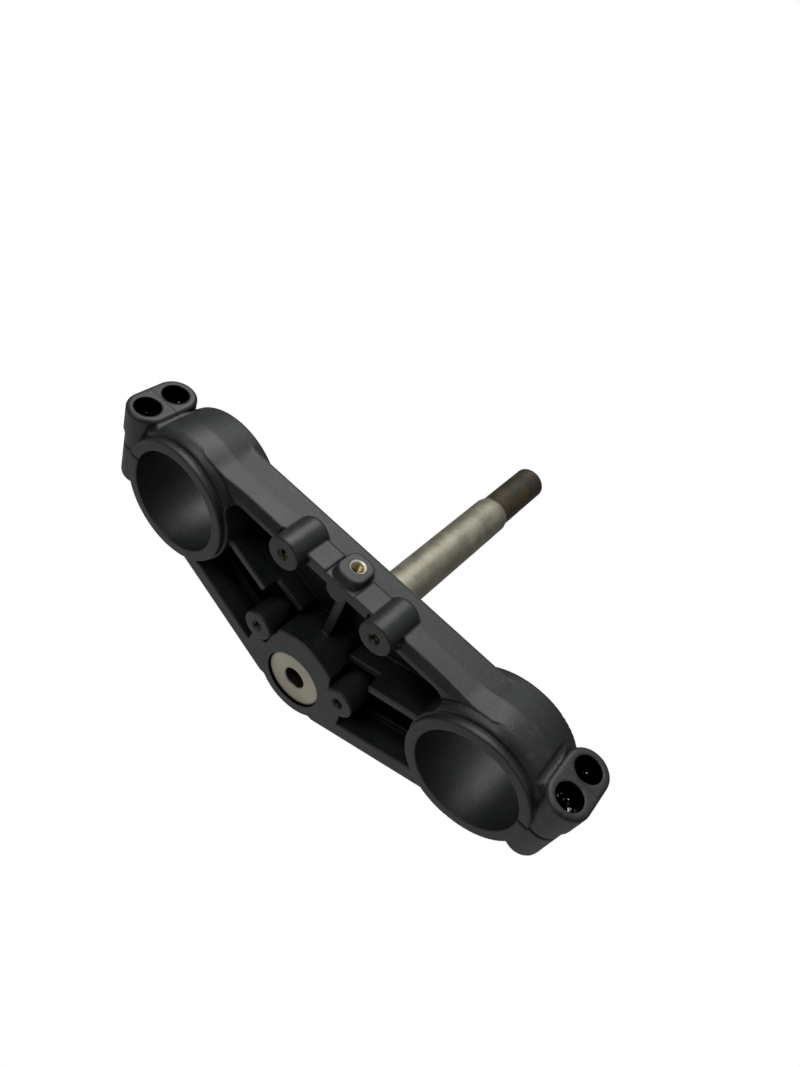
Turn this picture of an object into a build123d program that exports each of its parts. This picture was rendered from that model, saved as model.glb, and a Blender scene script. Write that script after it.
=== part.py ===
from build123d import *
from math import atan2, degrees
import os

# Motorcycle lower triple clamp: one cast yoke and the steering stem pressed
# into it. The stem axis is Z, the front of the motorcycle is -Y and the
# underside faces -Z. Sizes are in mm, and heights are measured from the lower
# faces of the two fork collars. The finished part is moved down, so that its
# origin is on the stem axis at the stem's lower face.

# fork clamps
fork_half = 100.0
fork_offset = 51.0
fork_y = -fork_offset
fork_bore_r = 28.3
collar_wall = 6.3
collar_r = fork_bore_r + collar_wall
collar_edge_r = 0.8
collar_step = 0.8
clamp_foot_r = collar_r + collar_step
clamp_foot_z = 3.0
clamp_wall = 11.5
clamp_r = fork_bore_r + clamp_wall
clamp_draft = 3.1
clamp_round_z = 11.0
foot_round = 1.3
foot_middle_z = 6.0
foot_middle = (clamp_r - foot_round, foot_middle_z)
foot_cut_flare = 1.5
pocket_bite = 4.3
clamp_pocket_r = clamp_r - pocket_bite
bore_chamfer = 0.3

# cast body, seen from the side
mid_z = 20.0
web_top_z = 33.9
top_z = 40.0
top_edge_r = 1.0
rear_z = 4.0
lip_z = 7.0
floor_z = 30.0
skin_z = 9.2
valley_length = 27.8
valley_tip_side = 8.2
valley_tip_reach = 37.9
valley_tip = (fork_half - valley_tip_side, fork_y - valley_tip_reach)
valley_near_x = valley_tip[0] - valley_length
valley_tip_z = 6.9
valley_bite = 3.2
valley_clamp_r = clamp_r - valley_bite

# cast body, seen from above
front_reach = 35.6
front_y = fork_y - front_reach
front_draft = 0.8
lip_setback = 0.6
lip_y = front_y + lip_setback
lip_slope = 5.2
lip_slope_y = front_y + lip_slope
front_wall = 8.1
lip_inner_y = front_y + front_wall
front_middle_wall = 5.4
lip_middle_y = front_y + front_middle_wall
blend_r = 30.0
blend_top_r = 4.0
rear_near = (20.2, 16.6)
rear_reach = 32.5
rear_far = (fork_half, fork_y + rear_reach)
rear_wall = 8.8
rear_ledge = 4.0
ledge_z = 20.0
pocket_corner_r = 7.0

# stem tower
tower_r = 23.7
flange_r = 33.0
flange_side_near = (22.9, -8.0)
flange_side_far = (17.4, -33.0)

# pinch bolt ears
ear_side = 8.0
ear_x = fork_half + fork_bore_r + ear_side
pinch_low_z = 10.3
pinch_high_z = 28.1
ear_reach = 32.0
ear_face_y = fork_y - ear_reach
ear_r = 11.3
ear_top_z = 39.4
ear_length = 16.0
ear_step_y = ear_face_y + ear_length
lug_r = 10.3
lug_reach = 18.7
lug_end_y = fork_y + lug_reach
ear_edge_r = 2.2
lug_edge_r = 4.0
ear_groove_r = 3.2
ear_groove_depth = 1.4
ear_groove_top = 36.0
slot_offset = 6.6
slot_y = fork_y - slot_offset
slot_w = 1.8
counterbore_r = 7.0
counterbore_depth = 11.0
bolt_clearance_r = 4.5
pinch_thread_r = 4.0

# underside bosses with M6 threads
boss_x = 29.3
front_boss_inset = 2.8
front_boss_y = front_y + front_boss_inset
front_boss_r = 9.05
front_boss_top = 24.0
front_boss_round = 2.5
boss_edge_r = 0.6
rear_boss_offset = 20.5
rear_boss_y = -rear_boss_offset
rear_boss_r = 8.7
rear_boss_z = 0.6
front_boss_clear_r = 10.4
front_boss_clear_z = 10.0
thread_r = 3.0
thread_mouth_r = 3.4
thread_depth = 16.0

# front boss, between two raised flats
pad_depth = 4.6
pad_y = front_y - pad_depth
pad_half_w = 7.7
pad_low_z = 10.0
pad_high_z = 26.0
pad_corner_r = 5.5
pad_edge_r = 0.8
pad_side_draft = 0.4
pad_foot_draft = 3.0
pad_hole_z = 18.6
pad_hole_depth = 15.0
pad_mouth_r = 4.0
bulge_r = 6.0
flat_near_x = 9.2
flat_top_z = 21.5
flat_height = 0.9

# underside ribs
rib_w = 4.0
rib_z = 8.0
rib_deep_z = 18.0
rib_clamp_side = 30.0
rib_clamp_back = 0.5
rib_clamp = (fork_half - rib_clamp_side, fork_y + rib_clamp_back)
rib_bend = (37.0, -38.5)
rib_tower = (18.0, -32.0)
centre_rib_w = 5.0

# steering stem
stem_face_z = 5.3
stem_base_r = 17.1
stem_base_top = 42.0
stem_seat_r = 15.0
stem_seat_top = 62.0
stem_r = 12.85
stem_shoulder_z = 203.0
stem_thread_z = 208.5
stem_thread_r = 11.45
stem_end_z = 258.7
stem_end_chamfer = 1.2
stem_bore_r = 6.3
stem_bore_chamfer = 0.8
tower_mouth_gap = 0.5
tower_mouth_depth = 2.5


def post(x, y, r, low, high):
    return Pos(x, y, low) * Cylinder(r, high - low, align=(Align.CENTER, Align.CENTER, Align.MIN))


def block(x0, x1, y0, y1, z0, z1):
    return Pos(x0, y0, z0) * Box(x1 - x0, y1 - y0, z1 - z0, align=(Align.MIN, Align.MIN, Align.MIN))


def along_y(sketch, y0, y1):
    # the sketch's x stays X and its y becomes Z
    plane = Plane(origin=(0, y1, 0), x_dir=(1, 0, 0), z_dir=(0, -1, 0))
    return extrude(plane * sketch, amount=y1 - y0)


def bar(a, b, width, low, high):
    middle = ((a[0] + b[0]) / 2, (a[1] + b[1]) / 2)
    run = (b[0] - a[0], b[1] - a[1])
    plan = Pos(*middle) * Rot(0, 0, degrees(atan2(run[1], run[0]))) * Rectangle(Vector(*run).length, width)
    return extrude(Pos(0, 0, low) * plan, amount=high - low)


def stadium(r):
    return Pos(ear_x, ear_top_z / 2) * SlotCenterToCenter(ear_top_z - 2 * ear_r, 2 * r, rotation=90)


def wall_plan(front):
    return make_face(Polyline(
        (-fork_half, front), (fork_half, front), rear_far, rear_near,
        (-rear_near[0], rear_near[1]), (-rear_far[0], rear_far[1]), close=True))


def body_plan(front, clamp_radius, corner_r):
    plan = wall_plan(front) + Circle(tower_r)
    for side in (-1, 1):
        plan += Pos(side * fork_half, fork_y) * Circle(clamp_radius)
    corners = plan.vertices().filter_by(lambda v: abs(v.Y - front) < 0.01)
    return fillet(corners, corner_r)


def pocket_plan(inset):
    plan = offset(wall_plan(2 * front_y), -inset) & Pos(0, lip_inner_y) * Rectangle(
        4 * fork_half, 4 * fork_half, align=(Align.CENTER, Align.MIN))
    for side in (-1, 1):
        plan -= Pos(side * fork_half, fork_y) * Circle(clamp_pocket_r)
    plan = plan.faces().filter_by(lambda face: abs(face.center().X) < 1)[0]
    front = plan.vertices().filter_by(lambda v: abs(v.Y - lip_inner_y) < 0.01)
    return fillet(front, pocket_corner_r)


def pad_section(y, half_w, low, high):
    plane = Plane(origin=(0, y, 0), x_dir=(1, 0, 0), z_dir=(0, -1, 0))
    return plane * Pos(0, (low + high) / 2) * RectangleRounded(2 * half_w, high - low, pad_corner_r)


def valley_section(x, deep_z):
    outline = Polyline(
        (lip_slope_y, 0), (lip_slope_y, lip_z), (lip_y, deep_z), (2 * front_y, deep_z),
        (2 * front_y, 0), close=True)
    return Pos(x, 0, 0) * (Plane.YZ * make_face(outline))


# the casting without its collars: a straight lower half, and an upper half
# that narrows. The clamps and the tower stand above the web between them.
web_clamp_r = clamp_r - clamp_draft * (web_top_z - mid_z) / (top_z - mid_z)
mid_plan = body_plan(front_y, clamp_r, blend_r)
web_plan = body_plan(front_y + front_draft, web_clamp_r, blend_top_r)
lower = extrude(Pos(0, 0, rear_z) * mid_plan, amount=mid_z - rear_z)
upper = loft([Pos(0, 0, mid_z) * mid_plan, Pos(0, 0, web_top_z) * web_plan], ruled=True)
yoke = lower + upper
clamp_top = Cone(
    web_clamp_r, clamp_r - clamp_draft, top_z - web_top_z, align=(Align.CENTER, Align.CENTER, Align.MIN))
for place, cap in (
        ((-fork_half, fork_y), clamp_top), ((fork_half, fork_y), clamp_top),
        ((0, 0), post(0, 0, tower_r, 0, top_z - web_top_z))):
    yoke += Pos(*place, web_top_z) * fillet(cap.edges().group_by(Axis.Z)[-1], top_edge_r)

# the underside steps up round the clamps and along the front wall
tip_run = Vector(valley_tip[0] - fork_half, valley_tip[1] - fork_y)
tip_shift = tip_run.normalized() * (tip_run.length - valley_clamp_r)
step_round = post(fork_half + tip_shift.X, fork_y + tip_shift.Y, valley_clamp_r, 0, skin_z)
step = block(-valley_tip[0], valley_tip[0], 2 * front_y, fork_y, 0, lip_z)
yoke -= step - step_round - mirror(step_round, about=Plane.YZ)

# outside the front bosses, the rim of the front wall slopes up to the front
# skin, and towards each clamp it runs out in a pointed valley
valley = extrude(valley_section(boss_x, skin_z), amount=valley_near_x - boss_x, dir=(1, 0, 0))
valley += loft([valley_section(valley_near_x, skin_z), valley_section(valley_tip[0], valley_tip_z)], ruled=True)
valley -= step_round
yoke -= valley
yoke -= mirror(valley, about=Plane.YZ)

# the pockets of the underside, with a ledge along the rear wall
pocket = extrude(pocket_plan(rear_wall), amount=ledge_z)
pocket += extrude(pocket_plan(rear_wall + rear_ledge), amount=floor_z)
pocket += block(-boss_x, boss_x, lip_middle_y, 0, 0, floor_z)
yoke -= pocket

# the clamps are rounded in towards their collars, except at the rear wall
# and above the valley, where the front skin runs on
foot = make_face(
    Polyline(
        (clamp_r, clamp_round_z), (clamp_r + foot_cut_flare, 0), (0, 0), (0, clamp_foot_z),
        (clamp_foot_r, clamp_foot_z))
    + ThreePointArc((clamp_foot_r, clamp_foot_z), foot_middle, (clamp_r, clamp_round_z)))
foot_cut = Pos(fork_half, fork_y) * revolve(Plane.XZ * foot, axis=Axis.Z)
rear_run = bar(rear_near, rear_far, 2 * rear_wall, 0, clamp_round_z)
foot_cut -= rear_run & extrude(wall_plan(front_y), amount=mid_z)
foot_cut -= along_y(make_face(Polyline(
    (valley_near_x, skin_z), (valley_tip[0], valley_tip_z), (fork_half, clamp_round_z),
    (valley_near_x, clamp_round_z), close=True)), 2 * front_y, fork_y)
yoke -= foot_cut
yoke -= mirror(foot_cut, about=Plane.YZ)

# stem tower, cut back beside the rear bosses
flange = extrude(Pos(0, 0, rear_z) * (mid_plan & Circle(flange_r)), amount=floor_z + 1 - rear_z)
beside = extrude(make_face(Polyline(
    flange_side_near, flange_side_far, (2 * flange_r, flange_side_far[1]),
    (2 * flange_r, flange_side_near[1]), close=True)), amount=floor_z)
yoke += flange - beside - mirror(beside, about=Plane.YZ)

# ribs from the tower to the clamps and to the front wall
for side in (-1, 1):
    clamp_end = (side * rib_clamp[0], rib_clamp[1])
    bend = (side * rib_bend[0], rib_bend[1])
    tower_end = (side * rib_tower[0], rib_tower[1])
    yoke += bar(clamp_end, bend, rib_w, rib_z, floor_z + 1)
    yoke += bar(bend, tower_end, rib_w, rib_deep_z, floor_z + 1)
yoke += bar((0, lip_middle_y), (0, -flange_r + 2), centre_rib_w, rib_deep_z, floor_z + 1)
bulge = post(0, lip_middle_y, bulge_r, lip_z, floor_z + 1)
yoke += bulge & block(-bulge_r, bulge_r, lip_slope_y, 0, lip_z, floor_z + 1)

# pinch bolt ears and lugs, with a groove where each ear leaves its clamp
for side in (-1, 1):
    yoke -= post(
        side * (ear_x - ear_r - ear_groove_depth), ear_face_y - ear_groove_depth, ear_groove_r,
        0, ear_groove_top)
ear = along_y(stadium(ear_r), ear_face_y, ear_step_y)
ear = fillet(ear.edges().group_by(Axis.Y)[0], ear_edge_r)
lug = along_y(stadium(lug_r), ear_step_y, lug_end_y)
lug = fillet(lug.edges().group_by(Axis.Y)[-1], lug_edge_r)
for barrel in (ear, lug):
    yoke += barrel
    yoke += mirror(barrel, about=Plane.YZ)

# collars, underside bosses and front boss
for side in (-1, 1):
    collar = post(side * fork_half, fork_y, collar_r, 0, clamp_foot_z + 1)
    yoke += fillet(collar.edges().group_by(Axis.Z)[0], collar_edge_r)
    yoke -= post(side * boss_x, front_boss_y, front_boss_clear_r, 0, front_boss_clear_z)
    boss = post(side * boss_x, front_boss_y, front_boss_r, 0, front_boss_top)
    boss = fillet(boss.edges().group_by(Axis.Z)[-1], front_boss_round)
    yoke += fillet(boss.edges().group_by(Axis.Z)[0], boss_edge_r)
    boss = post(side * boss_x, rear_boss_y, rear_boss_r, rear_boss_z, floor_z + 1)
    yoke += fillet(boss.edges().group_by(Axis.Z)[0], boss_edge_r)
pad = loft([
    pad_section(pad_y, pad_half_w, pad_low_z, pad_high_z),
    pad_section(lip_y, pad_half_w + pad_side_draft, pad_low_z - pad_foot_draft, pad_high_z + pad_side_draft)],
    ruled=True)
yoke += fillet(pad.edges().group_by(Axis.Y)[0], pad_edge_r)
for side in (-1, 1):
    flat_x = sorted((side * flat_near_x, side * boss_x))
    yoke += block(*flat_x, front_y - flat_height, lip_y, lip_z, flat_top_z)

# fork bores and the slots that let the clamps close
bore_mouth = Cone(
    fork_bore_r + bore_chamfer, fork_bore_r, bore_chamfer, align=(Align.CENTER, Align.CENTER, Align.MIN))
for side in (-1, 1):
    yoke -= post(side * fork_half, fork_y, fork_bore_r, 0, top_z)
    yoke -= Pos(side * fork_half, fork_y) * bore_mouth
    slot_end = side * (ear_x + 2 * ear_r)
    slot_x = sorted((side * (fork_half + fork_bore_r / 2), slot_end))
    yoke -= block(*slot_x, slot_y - slot_w / 2, slot_y + slot_w / 2, -1, top_z + 2)

# pinch bolt holes: counterbore, clearance through the ear, thread in the lug
for side in (-1, 1):
    for z in (pinch_low_z, pinch_high_z):
        centre = Pos(side * ear_x, z)
        yoke -= along_y(centre * Circle(counterbore_r), ear_face_y - 1, ear_face_y + counterbore_depth)
        yoke -= along_y(centre * Circle(bolt_clearance_r), ear_face_y, slot_y)
        yoke -= along_y(centre * Circle(pinch_thread_r), slot_y, lug_end_y + 1)

# M6 threads
tap = post(0, 0, thread_r, 0, thread_depth) + Cone(
    thread_mouth_r, thread_r, thread_mouth_r - thread_r, align=(Align.CENTER, Align.CENTER, Align.MIN))
for side in (-1, 1):
    yoke -= Pos(side * boss_x, front_boss_y, 0) * tap
    yoke -= Pos(side * boss_x, rear_boss_y, rear_boss_z) * tap
yoke -= along_y(Pos(0, pad_hole_z) * Circle(thread_r), pad_y - 1, pad_y + pad_hole_depth)
pad_mouth = Cone(pad_mouth_r, thread_r, pad_mouth_r - thread_r, align=(Align.CENTER, Align.CENTER, Align.MIN))
yoke -= Pos(0, pad_y, pad_hole_z) * Rot(-90, 0, 0) * pad_mouth

# seat of the stem, with a relieved mouth
yoke -= post(0, 0, stem_base_r, 0, top_z + 1)
yoke -= post(0, 0, stem_base_r + tower_mouth_gap, 0, stem_face_z + tower_mouth_depth)
yoke.label = "yoke"

# steering stem, turned and bored
profile = make_face(Polyline(
    (stem_bore_r, stem_face_z + stem_bore_chamfer),
    (stem_bore_r + stem_bore_chamfer, stem_face_z),
    (stem_base_r, stem_face_z),
    (stem_base_r, stem_base_top),
    (stem_seat_r, stem_base_top),
    (stem_seat_r, stem_seat_top),
    (stem_r, stem_seat_top + stem_seat_r - stem_r),
    (stem_r, stem_shoulder_z),
    (stem_thread_r, stem_thread_z),
    (stem_thread_r, stem_end_z - stem_end_chamfer),
    (stem_thread_r - stem_end_chamfer, stem_end_z),
    (stem_bore_r, stem_end_z),
    close=True))
stem = revolve(Plane.XZ * profile, axis=Axis.Z)
stem.label = "steering_stem"

os.makedirs("parts", exist_ok=True)
for piece in (yoke, stem):
    export_step(Pos(0, 0, -stem_face_z) * piece, f"parts/{piece.label}.step")
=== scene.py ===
import math

import bpy
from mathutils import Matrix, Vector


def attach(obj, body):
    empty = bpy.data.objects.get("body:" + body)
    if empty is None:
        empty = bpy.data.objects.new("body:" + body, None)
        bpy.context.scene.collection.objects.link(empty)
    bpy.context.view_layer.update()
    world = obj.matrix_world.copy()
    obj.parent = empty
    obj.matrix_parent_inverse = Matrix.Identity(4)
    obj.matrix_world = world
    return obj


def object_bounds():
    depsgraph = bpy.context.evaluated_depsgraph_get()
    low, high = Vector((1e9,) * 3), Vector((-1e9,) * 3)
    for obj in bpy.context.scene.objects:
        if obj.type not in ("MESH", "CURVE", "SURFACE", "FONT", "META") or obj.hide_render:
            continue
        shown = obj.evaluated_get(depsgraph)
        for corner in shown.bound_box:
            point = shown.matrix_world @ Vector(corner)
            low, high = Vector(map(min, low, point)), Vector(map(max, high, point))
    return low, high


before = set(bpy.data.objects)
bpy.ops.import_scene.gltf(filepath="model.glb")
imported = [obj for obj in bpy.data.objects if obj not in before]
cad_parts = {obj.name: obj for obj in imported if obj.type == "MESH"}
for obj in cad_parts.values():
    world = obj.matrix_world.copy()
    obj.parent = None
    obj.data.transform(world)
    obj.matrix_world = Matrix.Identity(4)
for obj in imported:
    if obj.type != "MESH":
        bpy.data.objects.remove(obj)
cad_box = [list(corner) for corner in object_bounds()]
bpy.ops.object.select_all(action="DESELECT")


# The yoke is one aluminium casting with a satin black coat, worn thin on its
# edges and speckled with dust. Its screw holes were cut after it was coated.
# The places below are the casting's own, in metres from the foot of the stem.
fork_centre = (0.1, -0.051, 0)
fork_bore_r = 0.0286
collar_r = 0.0352
slot_y = -0.0576
slot_half = 0.00088
slot_inner_x = 0.118
bolt_x = 0.1363
bolt_heights = (0.005, 0.0228)
bolt_hole_r = 0.00712
bolt_hole_mouth_y = (-0.0830, -0.0824)
bolt_floor_y = (-0.0725, -0.0715)
stem_ring_r = (0.0168, 0.01762)
boss_x = 0.0293
boss_ys = {"front": -0.0838, "rear": -0.0205}
boss_hole_r = 0.00308
boss_hole_end_z = 0.012
pad_height = 0.0133
pad_hole_r = 0.00408
pad_hole_end_y = -0.0759
pad_mouth_y = -0.0901
parting_z = 0.0147
parting_inner_x = 0.119
# height and reach of the painted highlight along the top edge of the front wall
glint_line_z = 0.0286
glint_line_front_y = -0.0815

coat_dark = (0.011, 0.0132, 0.0134, 1)
coat_pale = (0.018, 0.0208, 0.0208, 1)
coat_mottled = (0.034, 0.035, 0.033, 1)
coat_thin = (0.075, 0.078, 0.075, 1)
painted_glint_grey = (0.15, 0.155, 0.15, 1)
dust_grey = (0.22, 0.22, 0.20, 1)
road_dirt = (0.060, 0.054, 0.040, 1)
bore_shade_blue = (0.0075, 0.0100, 0.0120, 1)
shade_black = (0.001, 0.001, 0.001, 1)
boss_hole_shade_brown = (0.05, 0.05, 0.04, 1)
bare_metal = (0.78, 0.76, 0.66, 1)
pad_hole_lit_gold = (0.42, 0.34, 0.14, 1)


def group(name, inputs, outputs):
    tree = bpy.data.node_groups.new(name, "ShaderNodeTree")
    for label, kind, value in inputs:
        socket = tree.interface.new_socket(name=label, in_out="INPUT", socket_type=kind)
        if value is not None:
            socket.default_value = value
    for label, kind in outputs:
        tree.interface.new_socket(name=label, in_out="OUTPUT", socket_type=kind)
    return tree, tree.nodes.new("NodeGroupInput").outputs, tree.nodes.new("NodeGroupOutput").inputs


def node(tree, kind, links=(), **values):
    made = tree.nodes.new(kind)
    for name, value in values.items():
        setattr(made, name, value)
    for socket, source in links:
        if hasattr(source, "is_output"):
            tree.links.new(source, made.inputs[socket])
        else:
            made.inputs[socket].default_value = source
    return made


def maths(tree, operation, a, b=0.0):
    return node(tree, "ShaderNodeMath", ((0, a), (1, b)), operation=operation).outputs[0]


def times(tree, a, b):
    return maths(tree, "MULTIPLY", a, b)


def either(tree, a, b):
    return maths(tree, "MAXIMUM", a, b)


def below(tree, value, limit):
    return maths(tree, "LESS_THAN", value, limit)


def above(tree, value, limit):
    return maths(tree, "GREATER_THAN", value, limit)


def ramp(tree, value, low, high, start=0.0, end=1.0):
    links = (("Value", value), ("From Min", low), ("From Max", high), ("To Min", start), ("To Max", end))
    return node(tree, "ShaderNodeMapRange", links, interpolation_type="SMOOTHSTEP").outputs[0]


def blend(tree, factor, a, b):
    # sockets 6 and 7 and output 2 are the colours of the mix node
    return node(tree, "ShaderNodeMix", ((0, factor), (6, a), (7, b)), data_type="RGBA").outputs[2]


def distance(tree, point, centre, across):
    # how far a point is from a centre, measured only along the axes in across
    kept = node(tree, "ShaderNodeVectorMath", ((0, point), (1, across)), operation="MULTIPLY").outputs[0]
    gap = node(tree, "ShaderNodeVectorMath", ((0, kept), (1, centre)), operation="DISTANCE")
    return gap.outputs["Value"]


def bump(tree, height, strength, depth, normal=None):
    links = [("Strength", strength), ("Distance", depth), ("Height", height)]
    if normal is not None:
        links.append(("Normal", normal))
    return node(tree, "ShaderNodeBump", links).outputs["Normal"]


def material(name):
    made = bpy.data.materials.new(name)
    made.use_nodes = True
    tree = made.node_tree
    place = node(tree, "ShaderNodeTexCoord").outputs["Object"]
    return made, tree, tree.nodes["Principled BSDF"], place


def split(tree, point):
    return node(tree, "ShaderNodeSeparateXYZ", (("Vector", point),)).outputs


def effect(tree, made, links):
    return node(tree, "ShaderNodeGroup", links, node_tree=made).outputs


def dress(piece, finish):
    for place in piece.material_slots:
        place.material = finish


# surface grain: fine and coarse unevenness as a height, and cloudy patches
grain, g_in, g_out = group("surface grain", [
    ("Vector", "NodeSocketVector", None), ("Fine Scale", "NodeSocketFloat", 2200.0),
    ("Coarse Scale", "NodeSocketFloat", 620.0), ("Patch Scale", "NodeSocketFloat", 45.0)],
    [("Height", "NodeSocketFloat"), ("Patches", "NodeSocketFloat"), ("Mottle", "NodeSocketFloat")])
noises = []
for scale, detail in (("Fine Scale", 3.0), ("Coarse Scale", 2.0), ("Patch Scale", 5.0)):
    noise = node(grain, "ShaderNodeTexNoise", (
        ("Vector", g_in["Vector"]), ("Scale", g_in[scale]), ("Detail", detail), ("Roughness", 0.6)))
    noises.append(noise.outputs["Fac"])
fine, coarse, cloudy = noises
grain.links.new(maths(grain, "ADD", fine, times(grain, coarse, 1.6)), g_out["Height"])
grain.links.new(cloudy, g_out["Patches"])
grain.links.new(coarse, g_out["Mottle"])

# worn edges: where the surface turns within a small radius, broken up by the grain
edges, e_in, e_out = group("worn edges", [
    ("Breakup", "NodeSocketFloat", 0.5), ("Wear Radius", "NodeSocketFloat", 0.0006),
    ("Round Radius", "NodeSocketFloat", 0.0018)],
    [("Mask", "NodeSocketFloat"), ("Normal", "NodeSocketVector")])
rounded = node(edges, "ShaderNodeBevel", (("Radius", e_in["Wear Radius"]),), samples=6).outputs["Normal"]
eased = node(edges, "ShaderNodeBevel", (("Radius", e_in["Round Radius"]),), samples=8).outputs["Normal"]
flat = node(edges, "ShaderNodeNewGeometry").outputs["Normal"]
turn = node(edges, "ShaderNodeVectorMath", ((0, rounded), (1, flat)), operation="DOT_PRODUCT")
turned_away = ramp(edges, turn.outputs["Value"], 0.985, 0.86)
broken = ramp(edges, e_in["Breakup"], 0.3, 0.6)
edges.links.new(times(edges, turned_away, broken), e_out["Mask"])
edges.links.new(eased, e_out["Normal"])

# settled dust: sparse pale specks of uneven size
dust, d_in, d_out = group("settled dust", [
    ("Vector", "NodeSocketVector", None), ("Scale", "NodeSocketFloat", 420.0),
    ("Amount", "NodeSocketFloat", 0.10)],
    [("Mask", "NodeSocketFloat")])
cells = node(dust, "ShaderNodeTexVoronoi", (("Vector", d_in["Vector"]), ("Scale", d_in["Scale"])))
chance = node(dust, "ShaderNodeSeparateColor", (("Color", cells.outputs["Color"]),)).outputs
speck = ramp(dust, cells.outputs["Distance"], ramp(dust, chance[1], 0.0, 1.0, 0.05, 0.16), 0.02)
dust.links.new(times(dust, speck, below(dust, chance[0], d_in["Amount"])), d_out["Mask"])

black, tree, shader, place = material("satin black casting")
x, y, z = split(tree, place)
side = split(tree, node(tree, "ShaderNodeVectorMath", ((0, place),), operation="ABSOLUTE").outputs[0])["X"]
folded = node(tree, "ShaderNodeCombineXYZ", (("X", side), ("Y", y), ("Z", z))).outputs[0]
cast = effect(tree, grain, (("Vector", place),))
wear = effect(tree, edges, (("Breakup", cast["Mottle"]),))
specks = effect(tree, dust, (("Vector", place),))

# the coat: cloudy and mottled, thin on edges, with dust
coat = blend(tree, ramp(tree, cast["Patches"], 0.35, 0.65), coat_dark, coat_pale)
coat = blend(tree, ramp(tree, cast["Mottle"], 0.40, 0.72, 0.0, 0.35), coat, coat_mottled)
coat = blend(tree, times(tree, wear["Mask"], 0.6), coat, coat_thin)
# a painted highlight: a bright line along the top edge of the front wall, between the clamps
painted_glint_line = ramp(tree, distance(tree, place, (0, 0, glint_line_z), (0, 0, 1)), 0.00055, 0.0002)
painted_glint_line = times(tree, painted_glint_line, below(tree, y, glint_line_front_y))
painted_glint_line = times(tree, painted_glint_line, ramp(tree, side, 0.0900, 0.0840, 0.0, 0.75))
coat = blend(tree, painted_glint_line, coat, painted_glint_grey)
coat = blend(tree, times(tree, specks["Mask"], 0.6), coat, dust_grey)

# the right clamp is stained by old road dirt
stain = node(tree, "ShaderNodeTexNoise", (
    ("Vector", place), ("Scale", 130.0), ("Detail", 6.0), ("Roughness", 0.65))).outputs["Fac"]
stain = times(tree, ramp(tree, stain, 0.56, 0.70), ramp(tree, x, 0.070, 0.100, 0.0, 0.45))
coat = blend(tree, stain, coat, road_dirt)

# the fork bores are machined smooth; their colour is darker and bluer than the skin, which is painted shade
fork_gap = distance(tree, folded, fork_centre, (1, 1, 0))
bored = below(tree, fork_gap, fork_bore_r)
coat = blend(tree, times(tree, bored, maths(tree, "SUBTRACT", 0.8, stain)), coat, bore_shade_blue)

# the pinch bolt holes: their walls are painted black as shade, with painted glints of bare metal at their
# floors
low_gap, high_gap = [distance(tree, folded, (bolt_x, 0, height), (1, 0, 1)) for height in bolt_heights]
bolt_hole = below(tree, maths(tree, "MINIMUM", low_gap, high_gap), bolt_hole_r)
# painted shade: black walls inside the pinch bolt holes
painted_shade = times(tree, bolt_hole, ramp(tree, y, *bolt_hole_mouth_y))
# painted highlight: bright spots of bare metal where the floors of the pinch bolt holes glint
bolt_floor_glints = times(tree, above(tree, y, bolt_floor_y[0]), below(tree, y, bolt_floor_y[1]))
glints = ramp(tree, cast["Mottle"], 0.61, 0.65)
bolt_floor_glints = times(tree, times(tree, bolt_floor_glints, bolt_hole), glints)

# the slots of the clamps and the ring round the stem are narrow, and painted black as shade, like the holes
slot = below(tree, distance(tree, place, (0, slot_y, 0), (0, 1, 0)), slot_half)
slot = times(tree, slot, above(tree, side, slot_inner_x))
axis_gap = distance(tree, place, (0, 0, 0), (1, 1, 0))
ring = times(tree, above(tree, axis_gap, stem_ring_r[0]), below(tree, axis_gap, stem_ring_r[1]))
painted_shade = either(tree, either(tree, painted_shade, slot), ring)

# the pockets of the underside look near black: the coat is darker the more a place
# is closed in, which stands for shadow and not for a colour of the real casting
open_sky = node(tree, "ShaderNodeAmbientOcclusion", (("Distance", 0.035),), samples=8).outputs["AO"]
deep = times(tree, ramp(tree, open_sky, 0.62, 0.24, 0.0, 0.85), ramp(tree, z, 0.004, 0.012))
deep = times(tree, deep, above(tree, fork_gap, collar_r))
painted_shade = either(tree, painted_shade, deep)
coat = blend(tree, painted_shade, coat, shade_black)

# the tapped holes of the bosses are bare metal painted dark brown as shade, and the front boss has a bright
# mouth; the hole behind it is painted golden, as light that falls into it
pad_gap = distance(tree, folded, (0, 0, pad_height), (1, 0, 1))
pad_mouth = times(tree, below(tree, pad_gap, pad_hole_r), below(tree, y, pad_hole_end_y))
pad_hole_lit = times(tree, pad_mouth, above(tree, y, pad_mouth_y))
front_gap, rear_gap = [distance(tree, folded, (boss_x, boss_y, 0), (1, 1, 0)) for boss_y in boss_ys.values()]
boss_hole = below(tree, maths(tree, "MINIMUM", front_gap, rear_gap), boss_hole_r)
boss_hole = times(tree, boss_hole, below(tree, z, boss_hole_end_z))
# bare metal at the front boss's mouth, and the painted glints at the floors of the pinch bolt holes
bare_and_glints = either(tree, pad_mouth, bolt_floor_glints)
coat = blend(tree, boss_hole, coat, boss_hole_shade_brown)
coat = blend(tree, bare_and_glints, coat, bare_metal)
# painted light: the inside of the front boss's hole is golden, as if lit by light falling into it
coat = blend(tree, pad_hole_lit, coat, pad_hole_lit_gold)
tree.links.new(coat, shader.inputs["Base Color"])
metal = either(tree, times(tree, bare_and_glints, 0.85), times(tree, boss_hole, 0.5))
tree.links.new(either(tree, metal, painted_shade), shader.inputs["Metallic"])
rough = ramp(tree, cast["Patches"], 0.3, 0.7, 0.36, 0.46)
rough = maths(tree, "SUBTRACT", rough, times(tree, wear["Mask"], 0.06))
tree.links.new(maths(tree, "ADD", rough, times(tree, bored, 0.03)), shader.inputs["Roughness"])

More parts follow.
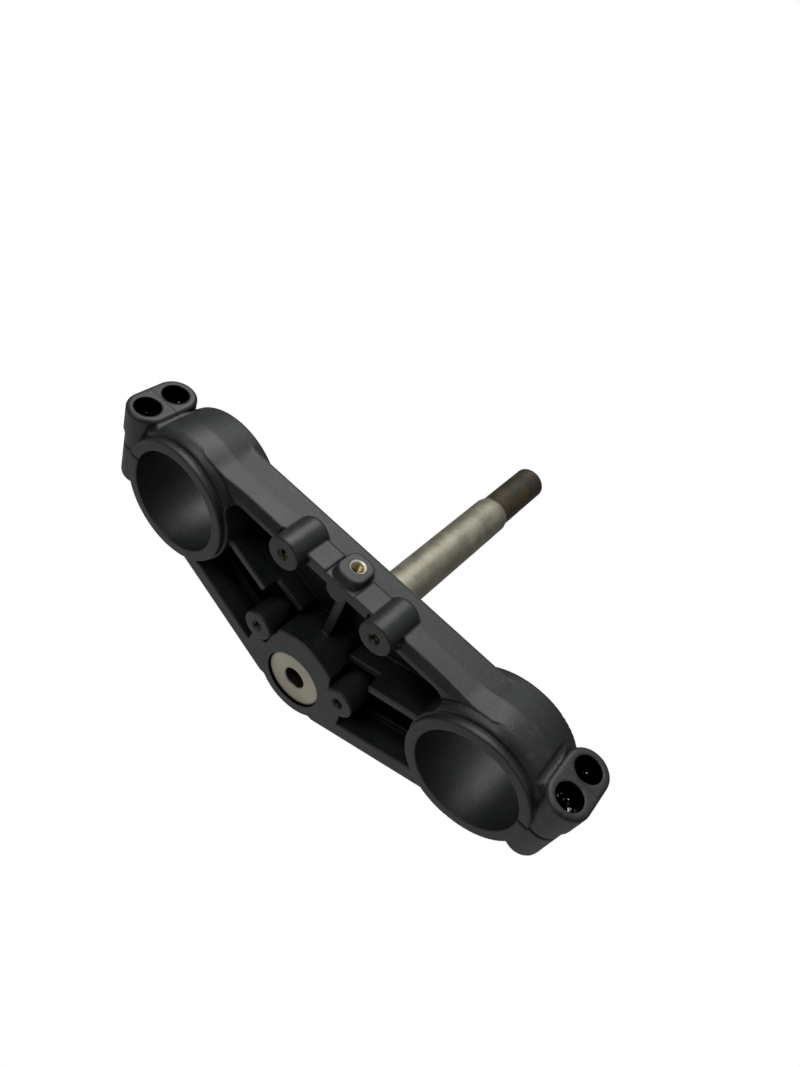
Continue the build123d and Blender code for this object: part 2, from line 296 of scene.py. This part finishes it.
# the parting line of the mould runs round the outer ends of the clamps
seam = ramp(tree, distance(tree, place, (0, 0, parting_z), (0, 0, 1)), 0.0005, 0.0001)
seam = times(tree, seam, above(tree, side, parting_inner_x))
grained = bump(tree, cast["Height"], 0.30, 0.00016, wear["Normal"])
tree.links.new(bump(tree, seam, 0.5, 0.0003, grained), shader.inputs["Normal"])
dress(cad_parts["yoke"], black)


# The steering stem is a turned steel tube, pressed into the yoke. Its shank is
# bare and mottled by wear, and its threaded upper end is dark and rusty.
thread_start_z = (0.1982, 0.2012)
lower_face_z = 0.0004
stem_bore_r = 0.0064
waves_per_turn = 6283.2
steel_dull = (0.27, 0.252, 0.19, 1)
steel_bright = (0.38, 0.365, 0.285, 1)
steel_mottled = (0.43, 0.42, 0.35, 1)
steel_worn = (0.50, 0.49, 0.44, 1)
steel_faced = (0.66, 0.62, 0.50, 1)
rust_dark = (0.032, 0.030, 0.020, 1)
rust_brown = (0.066, 0.044, 0.018, 1)
rust_mottled = (0.075, 0.066, 0.042, 1)
stem_bore_shade = (0.012, 0.008, 0.005, 1)

steel, tree, shader, place = material("worn turned steel")
height = split(tree, place)["Z"]
turned = effect(tree, grain, (("Vector", place), ("Patch Scale", 75.0)))
wear = effect(tree, edges, (("Breakup", turned["Mottle"]),))
shank = blend(tree, ramp(tree, turned["Patches"], 0.36, 0.66), steel_dull, steel_bright)
shank = blend(tree, ramp(tree, turned["Mottle"], 0.45, 0.7, 0.0, 0.4), shank, steel_mottled)
rusty = blend(tree, ramp(tree, turned["Patches"], 0.47, 0.60), rust_dark, rust_brown)
rusty = blend(tree, ramp(tree, turned["Mottle"], 0.5, 0.68, 0.0, 0.5), rusty, rust_mottled)
upper = ramp(tree, height, *thread_start_z)
finish = blend(tree, upper, shank, rusty)
finish = blend(tree, times(tree, wear["Mask"], 0.5), finish, steel_worn)
finish = blend(tree, ramp(tree, height, lower_face_z, lower_face_z / 2, 0.0, 0.8), finish, steel_faced)
# painted shade: the bore of the tube is near black and not metallic
axis_gap = distance(tree, place, (0, 0, 0), (1, 1, 0))
inside = below(tree, axis_gap, stem_bore_r)
tree.links.new(blend(tree, inside, finish, stem_bore_shade), shader.inputs["Base Color"])
outside = maths(tree, "SUBTRACT", 1.0, inside)
metal = times(tree, outside, ramp(tree, height, *thread_start_z, 0.75, 0.35))
tree.links.new(metal, shader.inputs["Metallic"])
tree.links.new(ramp(tree, turned["Patches"], 0.3, 0.7, 0.42, 0.54), shader.inputs["Roughness"])

# turning marks: rings on the lower face, and the fine thread of the upper end
rings = maths(tree, "SINE", times(tree, axis_gap, 14000.0))
rings = times(tree, rings, below(tree, height, lower_face_z))
thread = times(tree, maths(tree, "SINE", times(tree, height, waves_per_turn)), upper)
marked = bump(tree, turned["Height"], 0.25, 0.0001, wear["Normal"])
marked = bump(tree, maths(tree, "ADD", thread, rings), 0.35, 0.00012, marked)
tree.links.new(marked, shader.inputs["Normal"])
dress(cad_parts["steering_stem"], steel)


# The screw threads are cut into the casting: M6 in the four underside bosses
# and the front boss, M8 in the lugs behind the slots. Each is a helical ridge
# of bare aluminium that stands in from the wall of its hole.
m6_r = 0.003
m6_pitch = 0.001
m8_r = 0.004
m8_pitch = 0.00125
boss_thread_length = 0.0155
pad_thread_length = 0.0142
pinch_thread_length = 0.0243
boss_mouth_zs = {"front": -0.0053, "rear": -0.0047}
pinch_mouth_y = -0.0567
pad_thread_mouth_y = -0.0908
upright = (0, 0, 0)
rearwards = (-math.pi / 2, 0, 0)
thread_shade_dark = (0.035, 0.03, 0.018, 1)
swarf_bright = (0.30, 0.27, 0.16, 1)
pad_thread_lit_gold = (0.62, 0.46, 0.20, 1)

ridge, tree, shader, place = material("bare cut thread")
cuts = effect(tree, grain, (("Vector", place),))
# the ridges are mostly dark, as painted shade inside the holes, with brighter patches; the ridges of the
# front boss's thread are painted lighter and golden, as painted light falling into that hole
thread_shade_and_light = blend(tree, ramp(tree, cuts["Mottle"], 0.5, 0.62), thread_shade_dark, swarf_bright)
pad_thread_lit = below(tree, distance(tree, place, (0, 0, 0), (1, 0, 0)), 0.005)
thread_shade_and_light = blend(tree, times(tree, pad_thread_lit, 0.5), thread_shade_and_light, pad_thread_lit_gold)
tree.links.new(thread_shade_and_light, shader.inputs["Base Color"])
shader.inputs["Metallic"].default_value = 0.9
tree.links.new(ramp(tree, cuts["Patches"], 0.3, 0.7, 0.28, 0.42), shader.inputs["Roughness"])
tree.links.new(bump(tree, cuts["Height"], 0.3, 0.00005), shader.inputs["Normal"])


def cut_thread(radius, pitch, length):
    # a triangle, as wide as the pitch allows, is wound up the wall of the hole
    depth = 0.54 * pitch
    corner_r = depth / 1.5
    corner_width = 1.155 * depth
    bpy.ops.mesh.primitive_circle_add(vertices=3, radius=corner_r, location=(0, 0, 0))
    thread = bpy.context.object
    bpy.ops.object.mode_set(mode="EDIT")
    bpy.ops.mesh.select_all(action="SELECT")
    bpy.ops.transform.resize(value=(0.92 * pitch / corner_width, 1, 1), center_override=(0, 0, 0))
    bpy.ops.object.mode_set(mode="OBJECT")
    thread.rotation_euler = (0, -math.pi / 2, math.pi / 2)
    thread.location = (radius - depth / 3, 0, pitch)
    bpy.ops.object.transform_apply(location=True, rotation=True, scale=True)
    turns = int(length / pitch) - 1
    coil = thread.modifiers.new("coil", "SCREW")
    coil.axis = "Z"
    coil.angle = 2 * math.pi * turns
    coil.screw_offset = pitch * turns
    coil.steps = coil.render_steps = 22 * turns
    bpy.ops.object.modifier_apply(modifier="coil")
    bpy.ops.object.mode_set(mode="EDIT")
    bpy.ops.mesh.select_all(action="SELECT")
    bpy.ops.mesh.remove_doubles(threshold=0.000001)
    bpy.ops.mesh.select_all(action="DESELECT")
    bpy.ops.mesh.select_non_manifold(extend=False, use_wire=False, use_boundary=True)
    bpy.ops.mesh.edge_face_add()
    bpy.ops.mesh.select_all(action="SELECT")
    bpy.ops.mesh.normals_make_consistent(inside=False)
    bpy.ops.object.mode_set(mode="OBJECT")
    bpy.ops.object.shade_smooth_by_angle(angle=math.radians(40))
    thread.data.materials.append(ridge)
    bpy.ops.object.select_all(action="DESELECT")
    return thread


def place_thread(thread, name, mouth, turned_by):
    piece = thread.copy()
    piece.data = thread.data.copy()
    piece.name = name
    bpy.context.collection.objects.link(piece)
    piece.rotation_euler = turned_by
    piece.location = mouth
    piece.select_set(True)
    bpy.context.view_layer.objects.active = piece
    bpy.ops.object.transform_apply(location=True, rotation=True, scale=True)
    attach(piece, "root")
    bpy.ops.object.select_all(action="DESELECT")


boss_thread = cut_thread(m6_r, m6_pitch, boss_thread_length)
pinch_thread = cut_thread(m8_r, m8_pitch, pinch_thread_length)
pad_thread = cut_thread(m6_r, m6_pitch, pad_thread_length)
for word, way in (("left", -1), ("right", 1)):
    for end, boss_y in boss_ys.items():
        mouth = (way * boss_x, boss_y, boss_mouth_zs[end])
        place_thread(boss_thread, f"{end}_boss_thread_{word}", mouth, upright)
    for level, height in zip(("lower", "upper"), bolt_heights):
        mouth = (way * bolt_x, pinch_mouth_y, height)
        place_thread(pinch_thread, f"pinch_thread_{word}_{level}", mouth, rearwards)
place_thread(pad_thread, "pad_thread", (0, pad_thread_mouth_y, pad_height), rearwards)
for pattern in (boss_thread, pinch_thread, pad_thread):
    bpy.data.objects.remove(pattern)


# The floor is a pale painted board under the collars. It keeps the shadow where
# it is seen from above, and lets the room's light through to the underside.
floor_size = 8
floor_gap = 0.0002
board_dark = (0.84, 0.84, 0.84, 1)
board_pale = (0.88, 0.88, 0.88, 1)

bpy.ops.mesh.primitive_plane_add(size=floor_size, location=(0, 0, cad_box[0][2] - floor_gap))
floor = bpy.context.object
floor.name = "floor"
floor.visible_shadow = False
pale, tree, shader, place = material("pale floor")
scuffs = node(tree, "ShaderNodeTexNoise", (("Vector", place), ("Scale", 6.0))).outputs["Fac"]
tree.links.new(blend(tree, scuffs, board_dark, board_pale), shader.inputs["Base Color"])
shader.inputs["Roughness"].default_value = 0.9
under = node(tree, "ShaderNodeNewGeometry").outputs["Backfacing"]
looked_at = node(tree, "ShaderNodeLightPath").outputs["Is Camera Ray"]
shown = times(tree, looked_at, maths(tree, "SUBTRACT", 1.0, under))
clear = node(tree, "ShaderNodeBsdfTransparent")
mixed = node(tree, "ShaderNodeMixShader", ((0, shown), (1, clear.outputs[0]), (2, shader.outputs[0])))
tree.links.new(mixed.outputs[0], tree.nodes["Material Output"].inputs["Surface"])
floor.data.materials.append(pale)


# The studio is white where it is seen. The object is lit by a broad soft light
# in front of it and to its left, and by a pale bench behind and under it.
base_light = 0.10

world = bpy.data.worlds.new("studio")
bpy.context.scene.world = world
world.use_nodes = True
tree = world.node_tree
room = tree.nodes["Background"]
room.inputs["Color"].default_value = (1, 1, 1, 1)
across, along, up = split(tree, node(tree, "ShaderNodeTexCoord").outputs["Generated"])
soft = times(tree, ramp(tree, along, -0.10, -0.75), ramp(tree, across, -0.60, 0.45, 0.60, 0.40))
soft = times(tree, soft, ramp(tree, up, -0.60, 0.10))
bench = times(tree, ramp(tree, along, 0.05, 0.70), ramp(tree, up, 0.50, -0.60, 0.12, 0.38))
glow = maths(tree, "ADD", maths(tree, "ADD", soft, bench), base_light)
path = node(tree, "ShaderNodeLightPath").outputs
seen = either(tree, path["Is Camera Ray"], path["Is Transmission Ray"])
tree.links.new(either(tree, seen, glow), room.inputs["Strength"])


# Two square soft boxes stand in front of the object and to its left. The key
# light is high, and a weaker one stands low and lights the underside.
lit_point = (0, -0.04, 0.01)


def lamp(name, place, size, power):
    data = bpy.data.lights.new(name, "AREA")
    data.size = size
    data.energy = power
    made = bpy.data.objects.new(name, data)
    bpy.context.collection.objects.link(made)
    made.location = place
    away = [a - b for a, b in zip(lit_point, place)]
    flat_run = math.hypot(away[0], away[1])
    made.rotation_euler = (math.atan2(flat_run, -away[2]), 0, math.atan2(away[1], away[0]) - math.pi / 2)


lamp("key", (-0.41, -1.08, 0.52), 0.85, 6.9)
lamp("low", (-0.36, -0.96, -0.62), 0.5, 3)


# The camera looks up at the underside, from in front and to the right. Its
# place and its lens were fitted to the round bores of the part.
camera_place = (0.086958, -0.375304, -0.212146)
camera_turn = (145.2541, -37.0156, -23.8162)
focal_length = 36.1145
sensor_width = 36

lens = bpy.data.cameras.new("camera")
lens.sensor_fit = "HORIZONTAL"
lens.sensor_width = sensor_width
lens.lens = focal_length
lens.clip_start = 0.01
camera = bpy.data.objects.new("camera", lens)
bpy.context.collection.objects.link(camera)
camera.location = camera_place
camera.rotation_euler = [math.radians(angle) for angle in camera_turn]
bpy.context.scene.camera = camera
bpy.context.scene.view_settings.view_transform = "Standard"
